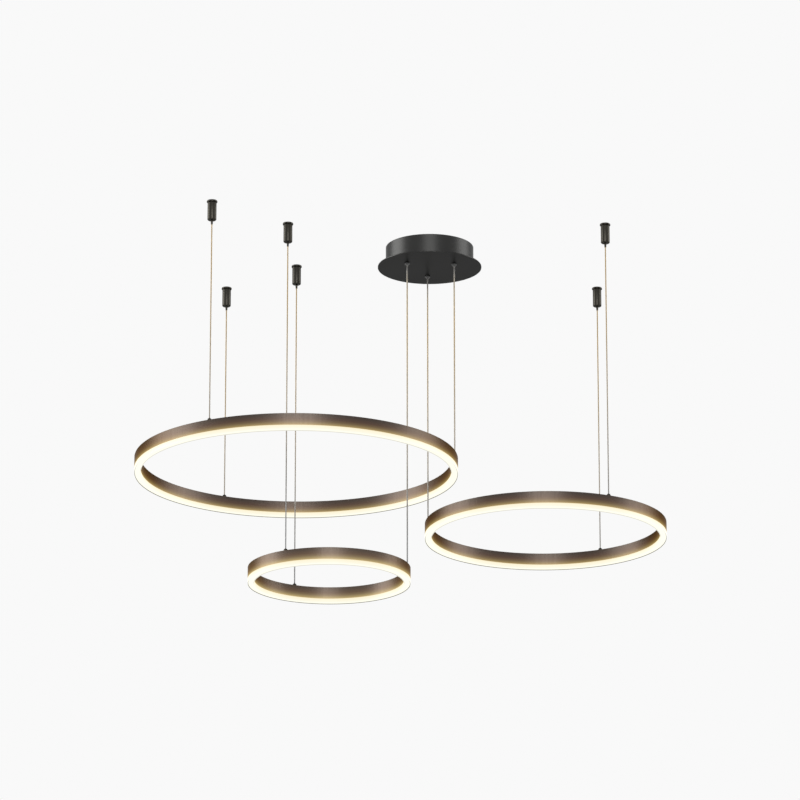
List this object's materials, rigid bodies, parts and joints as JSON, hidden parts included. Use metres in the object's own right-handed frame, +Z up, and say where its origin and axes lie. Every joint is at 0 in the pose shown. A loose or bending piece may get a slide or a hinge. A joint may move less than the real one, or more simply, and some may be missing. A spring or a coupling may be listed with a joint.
{
  "type": "led ring chandelier",
  "caption": "Chandelier of level glowing rings with bronze metal channels, hung at staggered heights on thin cables from a round canopy and ceiling anchors.",
  "frame": {"origin": "centre of the canopy's ceiling strap, on the ceiling plane", "axes": "+Z up, +X along the row of rings towards the medium ring, +Y across it, away from the picture's camera"},
  "size_m": [1.3181, 0.8, 0.88],
  "materials": {
    "bronze_aluminium": "brushed, coffee-bronze anodised",
    "opal_diffuser": "opal, lit from inside",
    "led_board": "white solder mask",
    "dark_fitting": "satin dark bronze",
    "coated_steel_cable": "stranded steel in a clear coat",
    "clear_power_cable": "clear jacket over tinned wires",
    "grey_gland": "moulded nylon",
    "canopy_paint": "satin charcoal",
    "zinc_steel": "zinc plated",
    "white_plastic": "moulded white"
  },
  "bodies": {
    "canopy": {"canopy_drum": "canopy_paint", "canopy_plate": "canopy_paint", "cable_glands": "grey_gland", "ceiling_bracket": "zinc_steel", "led_driver": "white_plastic", "terminal_block": "white_plastic", "anchor_bases": "dark_fitting", "anchor_barrels": "dark_fitting"},
    "large_front_cable": {"large_front_cable": "coated_steel_cable"},
    "large_back_cable": {"large_back_cable": "coated_steel_cable"},
    "large_power_cable": {"large_power_cable": "clear_power_cable"},
    "large_ring": {"large_ring_channel": "bronze_aluminium", "large_ring_diffuser": "opal_diffuser", "large_led_boards": "led_board", "large_cable_sockets": "dark_fitting"},
    "large_front_release": {"large_front_release_nipple": "dark_fitting"},
    "large_back_release": {"large_back_release_nipple": "dark_fitting"},
    "medium_front_cable": {"medium_front_cable": "coated_steel_cable"},
    "medium_back_cable": {"medium_back_cable": "coated_steel_cable"},
    "medium_power_cable": {"medium_power_cable": "clear_power_cable"},
    "medium_ring": {"medium_ring_channel": "bronze_aluminium", "medium_ring_diffuser": "opal_diffuser", "medium_led_boards": "led_board", "medium_cable_sockets": "dark_fitting"},
    "medium_front_release": {"medium_front_release_nipple": "dark_fitting"},
    "medium_back_release": {"medium_back_release_nipple": "dark_fitting"},
    "small_front_cable": {"small_front_cable": "coated_steel_cable"},
    "small_back_cable": {"small_back_cable": "coated_steel_cable"},
    "small_power_cable": {"small_power_cable": "clear_power_cable"},
    "small_ring": {"small_ring_channel": "bronze_aluminium", "small_ring_diffuser": "opal_diffuser", "small_led_boards": "led_board", "small_cable_sockets": "dark_fitting"},
    "small_front_release": {"small_front_release_nipple": "dark_fitting"},
    "small_back_release": {"small_back_release_nipple": "dark_fitting"}
  },
  "joints": [
    {"name": "large_ring_swing", "type": "hinge", "parent": "canopy", "child": "large_front_cable", "pos_m": [-0.53272, -0.35898, -0.061], "axis": [1, 0, 0], "range_deg": [-4, 4]},
    {"name": "large_ring_level", "type": "hinge", "parent": "large_front_cable", "child": "large_ring", "pos_m": [-0.53272, -0.35898, -0.5585], "axis": [1, 0, 0], "range_deg": [-4, 4]},
    {"name": "large_back_cable_swing", "type": "hinge", "parent": "canopy", "child": "large_back_cable", "pos_m": [-0.52087, 0.31988, -0.061], "axis": [1, 0, 0], "range_deg": [-4, 4]},
    {"name": "large_power_cable_swing", "type": "hinge", "parent": "canopy", "child": "large_power_cable", "pos_m": [0.06112, -0.02981, -0.061], "axis": [1, 0, 0], "range_deg": [-4, 4]},
    {"name": "large_front_release", "type": "slide", "parent": "canopy", "child": "large_front_release", "axis": [0, 0, 1], "range_m": [0, 0.002], "stiffness_N_per_m": 800, "springref_m": -0.002},
    {"name": "large_back_release", "type": "slide", "parent": "canopy", "child": "large_back_release", "axis": [0, 0, 1], "range_m": [0, 0.002], "stiffness_N_per_m": 800, "springref_m": -0.002},
    {"name": "medium_ring_swing", "type": "hinge", "parent": "canopy", "child": "medium_front_cable", "pos_m": [0.43326, -0.18504, -0.061], "axis": [1, 0, 0], "range_deg": [-4, 4]},
    {"name": "medium_ring_level", "type": "hinge", "parent": "medium_front_cable", "child": "medium_ring", "pos_m": [0.43326, -0.18504, -0.6985], "axis": [1, 0, 0], "range_deg": [-4, 4]},
    {"name": "medium_back_cable_swing", "type": "hinge", "parent": "canopy", "child": "medium_back_cable", "pos_m": [0.43326, 0.32071, -0.061], "axis": [1, 0, 0], "range_deg": [-4, 4]},
    {"name": "medium_power_cable_swing", "type": "hinge", "parent": "canopy", "child": "medium_power_cable", "pos_m": [-0.00474, 0.06783, -0.061], "axis": [1, 0, 0], "range_deg": [-4, 4]},
    {"name": "medium_front_release", "type": "slide", "parent": "canopy", "child": "medium_front_release", "axis": [0, 0, 1], "range_m": [0, 0.002], "stiffness_N_per_m": 800, "springref_m": -0.002},
    {"name": "medium_back_release", "type": "slide", "parent": "canopy", "child": "medium_back_release", "axis": [0, 0, 1], "range_m": [0, 0.002], "stiffness_N_per_m": 800, "springref_m": -0.002},
    {"name": "small_ring_swing", "type": "hinge", "parent": "canopy", "child": "small_front_cable", "pos_m": [-0.35135, -0.19158, -0.061], "axis": [1, 0, 0], "range_deg": [-4, 4]},
    {"name": "small_ring_level", "type": "hinge", "parent": "small_front_cable", "child": "small_ring", "pos_m": [-0.35135, -0.19158, -0.8385], "axis": [1, 0, 0], "range_deg": [-4, 4]},
    {"name": "small_back_cable_swing", "type": "hinge", "parent": "canopy", "child": "small_back_cable", "pos_m": [-0.33685, 0.14066, -0.061], "axis": [1, 0, 0], "range_deg": [-4, 4]},
    {"name": "small_power_cable_swing", "type": "hinge", "parent": "canopy", "child": "small_power_cable", "pos_m": [-0.05638, -0.03803, -0.061], "axis": [1, 0, 0], "range_deg": [-4, 4]},
    {"name": "small_front_release", "type": "slide", "parent": "canopy", "child": "small_front_release", "axis": [0, 0, 1], "range_m": [0, 0.002], "stiffness_N_per_m": 800, "springref_m": -0.002},
    {"name": "small_back_release", "type": "slide", "parent": "canopy", "child": "small_back_release", "axis": [0, 0, 1], "range_m": [0, 0.002], "stiffness_N_per_m": 800, "springref_m": -0.002}
  ],
  "couplings": [
    {"joint": "large_ring_level", "follows": "large_ring_swing", "ratio": -1},
    {"joint": "large_back_cable_swing", "follows": "large_ring_swing", "ratio": 1},
    {"joint": "large_power_cable_swing", "follows": "large_ring_swing", "ratio": 1},
    {"joint": "medium_ring_level", "follows": "medium_ring_swing", "ratio": -1},
    {"joint": "medium_back_cable_swing", "follows": "medium_ring_swing", "ratio": 1},
    {"joint": "medium_power_cable_swing", "follows": "medium_ring_swing", "ratio": 1},
    {"joint": "small_ring_level", "follows": "small_ring_swing", "ratio": -1},
    {"joint": "small_back_cable_swing", "follows": "small_ring_swing", "ratio": 1},
    {"joint": "small_power_cable_swing", "follows": "small_ring_swing", "ratio": 1}
  ]
}
